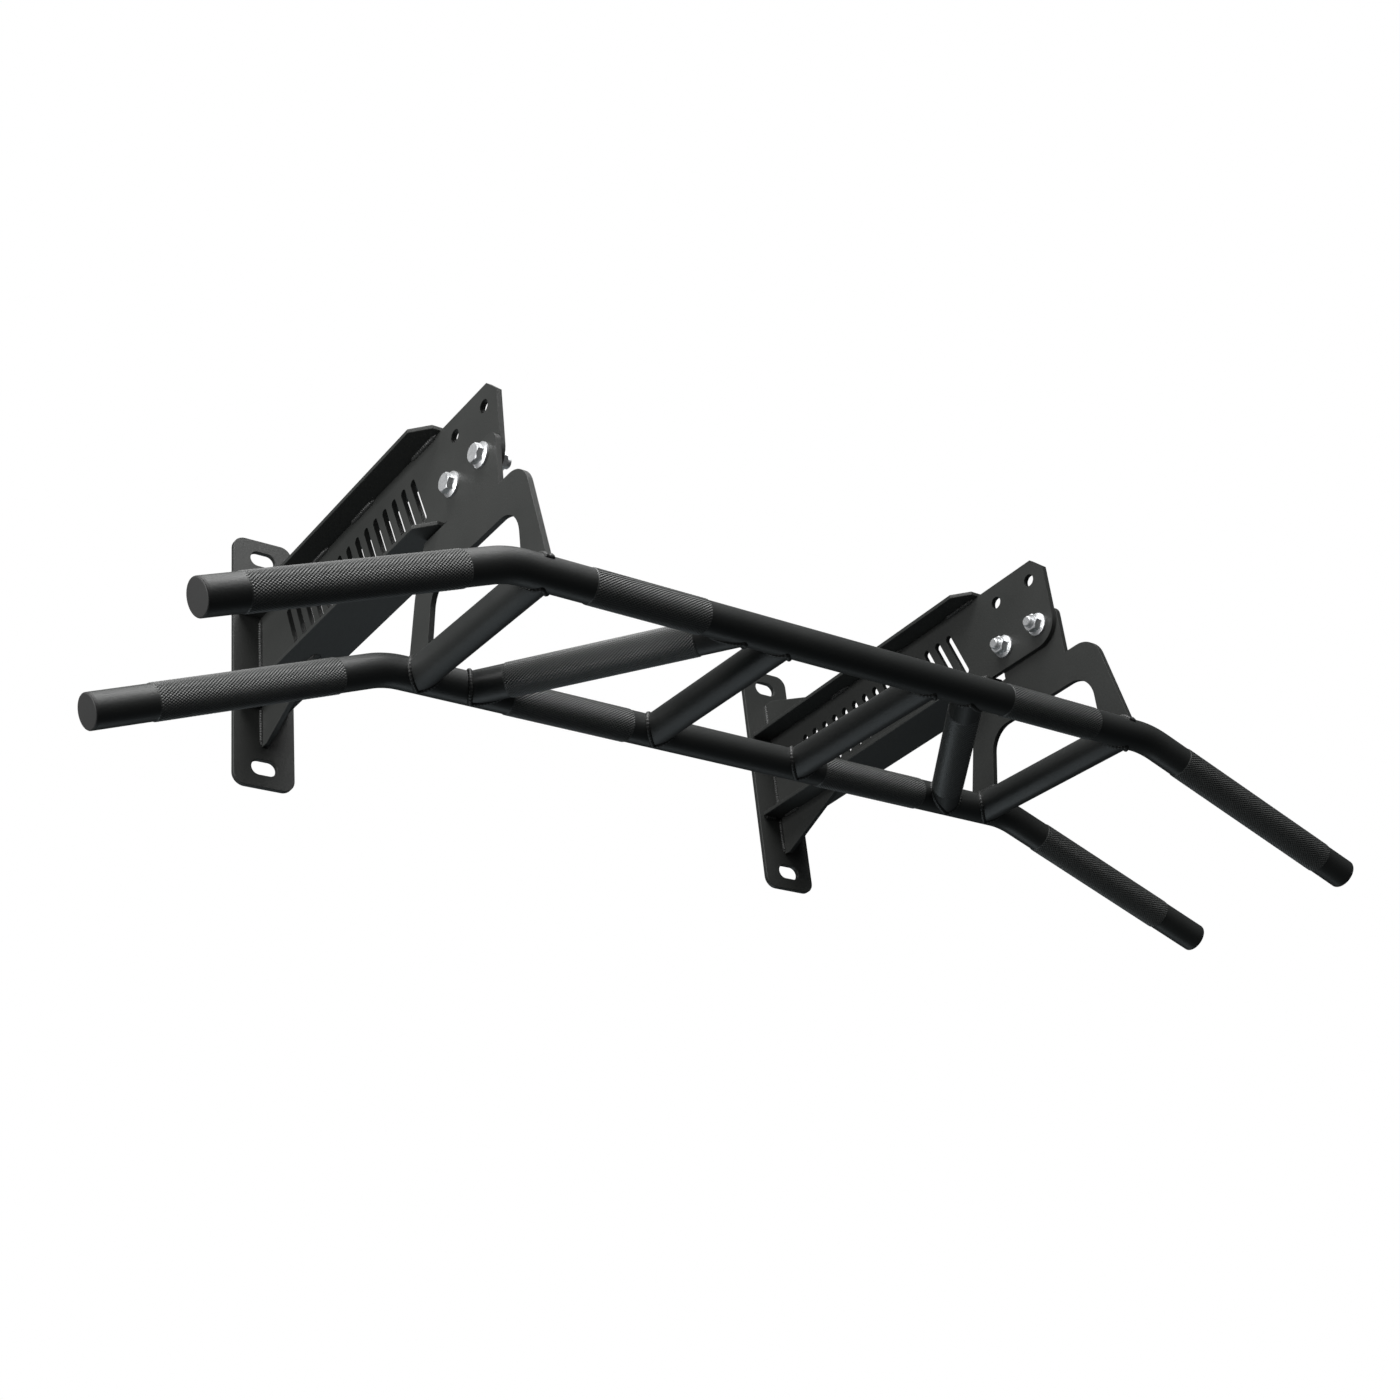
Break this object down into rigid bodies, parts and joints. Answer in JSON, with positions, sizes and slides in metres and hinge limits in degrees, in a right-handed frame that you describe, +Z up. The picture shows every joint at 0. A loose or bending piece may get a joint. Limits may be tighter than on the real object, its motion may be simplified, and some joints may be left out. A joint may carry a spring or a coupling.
{
  "type": "wall mounted pull-up bar",
  "caption": "Wall-mounted pull-up bar: two slotted bracket arms with bolted hanger plates carry a ladder of bent bars and cross grips.",
  "frame": {"origin": "on the wall, midway between the two brackets and midway between the upper and lower wall slots", "axes": "+Z up, +Y into the wall, +X along the wall to the right as seen from the room; the bars stand out towards -Y"},
  "size_m": [1.1562, 0.491, 0.4027],
  "materials": {
    "bracket_paint": "satin black powder coat",
    "bar_paint": "satin black powder coat over knurled tube",
    "cap_plastic": "matte black moulded plastic",
    "zinc": "bright zinc plating"
  },
  "bodies": {
    "root": {"angled_grip_left": "bar_paint", "angled_grip_right": "bar_paint", "arm_web_left": "bracket_paint", "arm_web_right": "bracket_paint", "clamp_bolts": "zinc", "clamp_nuts": "zinc", "front_bar": "bar_paint", "front_bar_cap_left": "cap_plastic", "front_bar_cap_right": "cap_plastic", "hanger_plate_left": "bar_paint", "hanger_plate_right": "bar_paint", "lower_flange_left": "bracket_paint", "lower_flange_right": "bracket_paint", "lower_gusset_left": "bracket_paint", "lower_gusset_right": "bracket_paint", "outer_grip_left": "bar_paint", "outer_grip_right": "bar_paint", "rear_bar": "bar_paint", "rear_bar_cap_left": "cap_plastic", "rear_bar_cap_right": "cap_plastic", "straight_grip_left": "bar_paint", "straight_grip_right": "bar_paint", "upper_flange_left": "bracket_paint", "upper_flange_right": "bracket_paint", "upper_gusset_left": "bracket_paint", "upper_gusset_right": "bracket_paint", "wall_plate_left": "bracket_paint", "wall_plate_right": "bracket_paint"}
  },
  "joints": []
}
